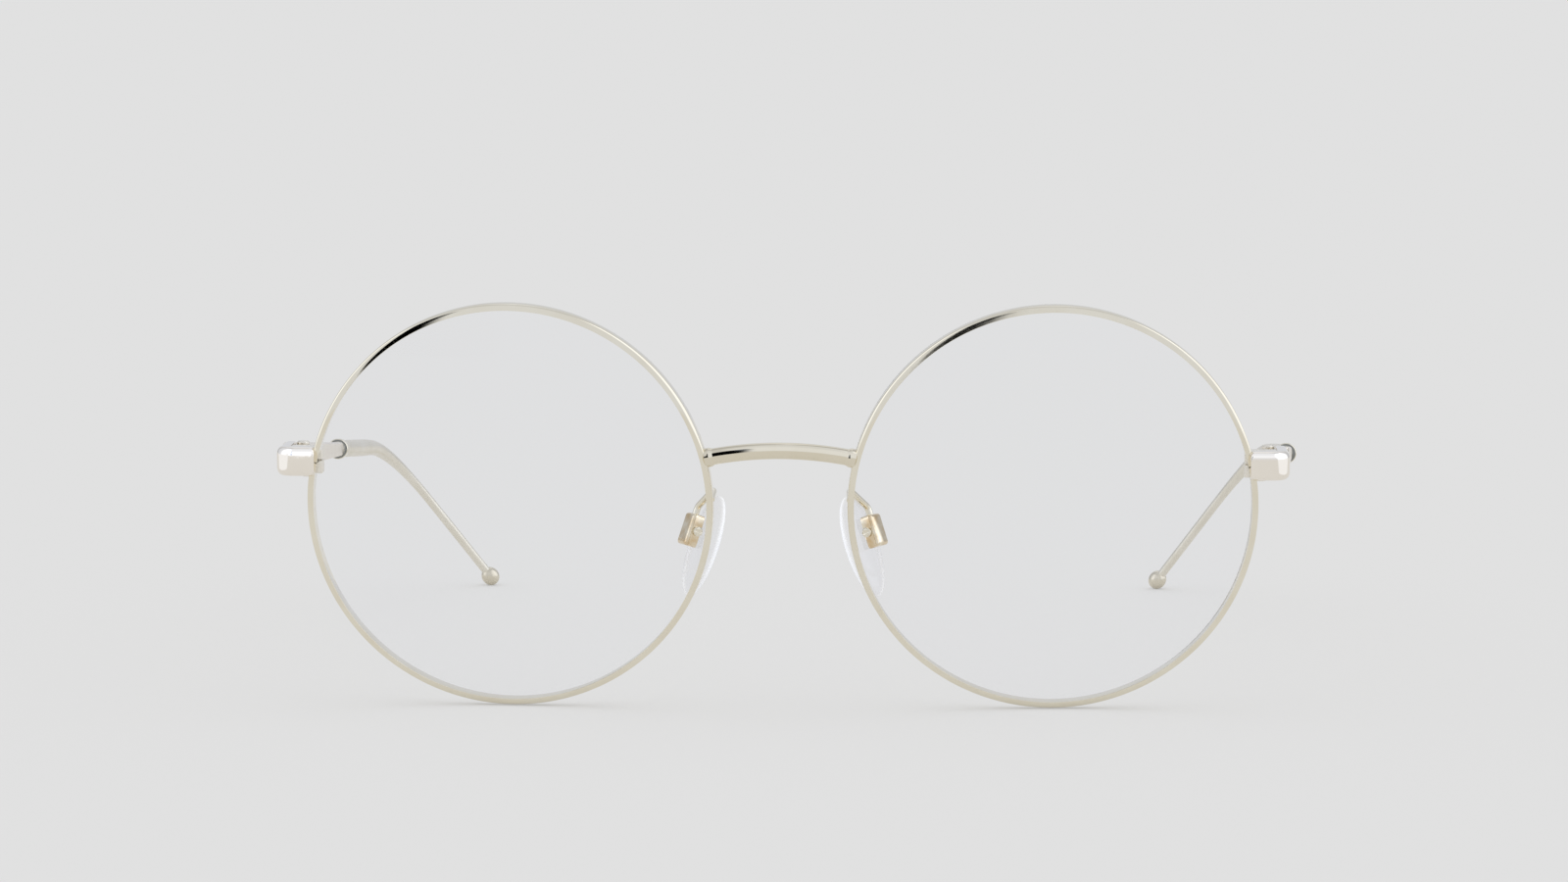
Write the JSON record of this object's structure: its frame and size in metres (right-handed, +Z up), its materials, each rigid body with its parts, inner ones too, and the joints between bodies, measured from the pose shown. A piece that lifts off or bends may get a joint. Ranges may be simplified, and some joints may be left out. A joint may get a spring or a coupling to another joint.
{
  "type": "round eyeglasses",
  "caption": "Round metal eyeglasses with clear lenses, an arched bridge, folding temples with curved wire ends and balls, and rocking clear nose pads.",
  "frame": {"origin": "on the floor that the glasses stand on, under the middle of their width and of their depth", "axes": "+Z up, +X to the viewer's right as they face the front of the glasses, the front faces -Y and the open temples run back along +Y"},
  "size_m": [0.1364, 0.1364, 0.0522],
  "materials": {
    "gold": "polished pale champagne gold plating",
    "lens": "clear, with a faint blue-green coating",
    "silicone": "clear soft silicone",
    "stem_plastic": "clear moulded plastic"
  },
  "bodies": {
    "front": {"bridge": "gold", "left_rim": "gold", "left_lens": "lens", "left_endpiece": "gold", "left_upper_rim_lock": "gold", "left_lower_rim_lock": "gold", "left_rim_screw": "gold", "left_front_hinge_leaf": "gold", "left_hinge_screw": "gold", "left_pad_arm": "gold", "left_pad_box": "gold", "left_pad_screw": "gold", "right_rim": "gold", "right_lens": "lens", "right_endpiece": "gold", "right_upper_rim_lock": "gold", "right_lower_rim_lock": "gold", "right_rim_screw": "gold", "right_front_hinge_leaf": "gold", "right_hinge_screw": "gold", "right_pad_arm": "gold", "right_pad_box": "gold", "right_pad_screw": "gold"},
    "left_temple": {"left_temple_hinge_leaf": "gold", "left_temple_bar": "gold", "left_temple_collar": "gold", "left_ear_wire": "gold", "left_end_ball": "gold"},
    "right_temple": {"right_temple_hinge_leaf": "gold", "right_temple_bar": "gold", "right_temple_collar": "gold", "right_ear_wire": "gold", "right_end_ball": "gold"},
    "left_pad": {"left_nose_pad": "silicone", "left_pad_stem": "stem_plastic"},
    "right_pad": {"right_nose_pad": "silicone", "right_pad_stem": "stem_plastic"}
  },
  "joints": [
    {"name": "left_temple_fold", "type": "hinge", "parent": "front", "child": "left_temple", "pos_m": [-0.0619, -0.0559, 0.03143], "axis": [0, 0, -1], "range_deg": [0, 88]},
    {"name": "right_temple_fold", "type": "hinge", "parent": "front", "child": "right_temple", "pos_m": [0.0619, -0.0559, 0.03143], "axis": [0, 0, 1], "range_deg": [0, 82]},
    {"name": "left_pad_rock", "type": "hinge", "parent": "front", "child": "left_pad", "pos_m": [-0.01156, -0.05943, 0.02238], "axis": [-0.5, 0.866, 0], "range_deg": [-10, 10]},
    {"name": "right_pad_rock", "type": "hinge", "parent": "front", "child": "right_pad", "pos_m": [0.01156, -0.05943, 0.02238], "axis": [0.5, 0.866, 0], "range_deg": [-10, 10]}
  ]
}
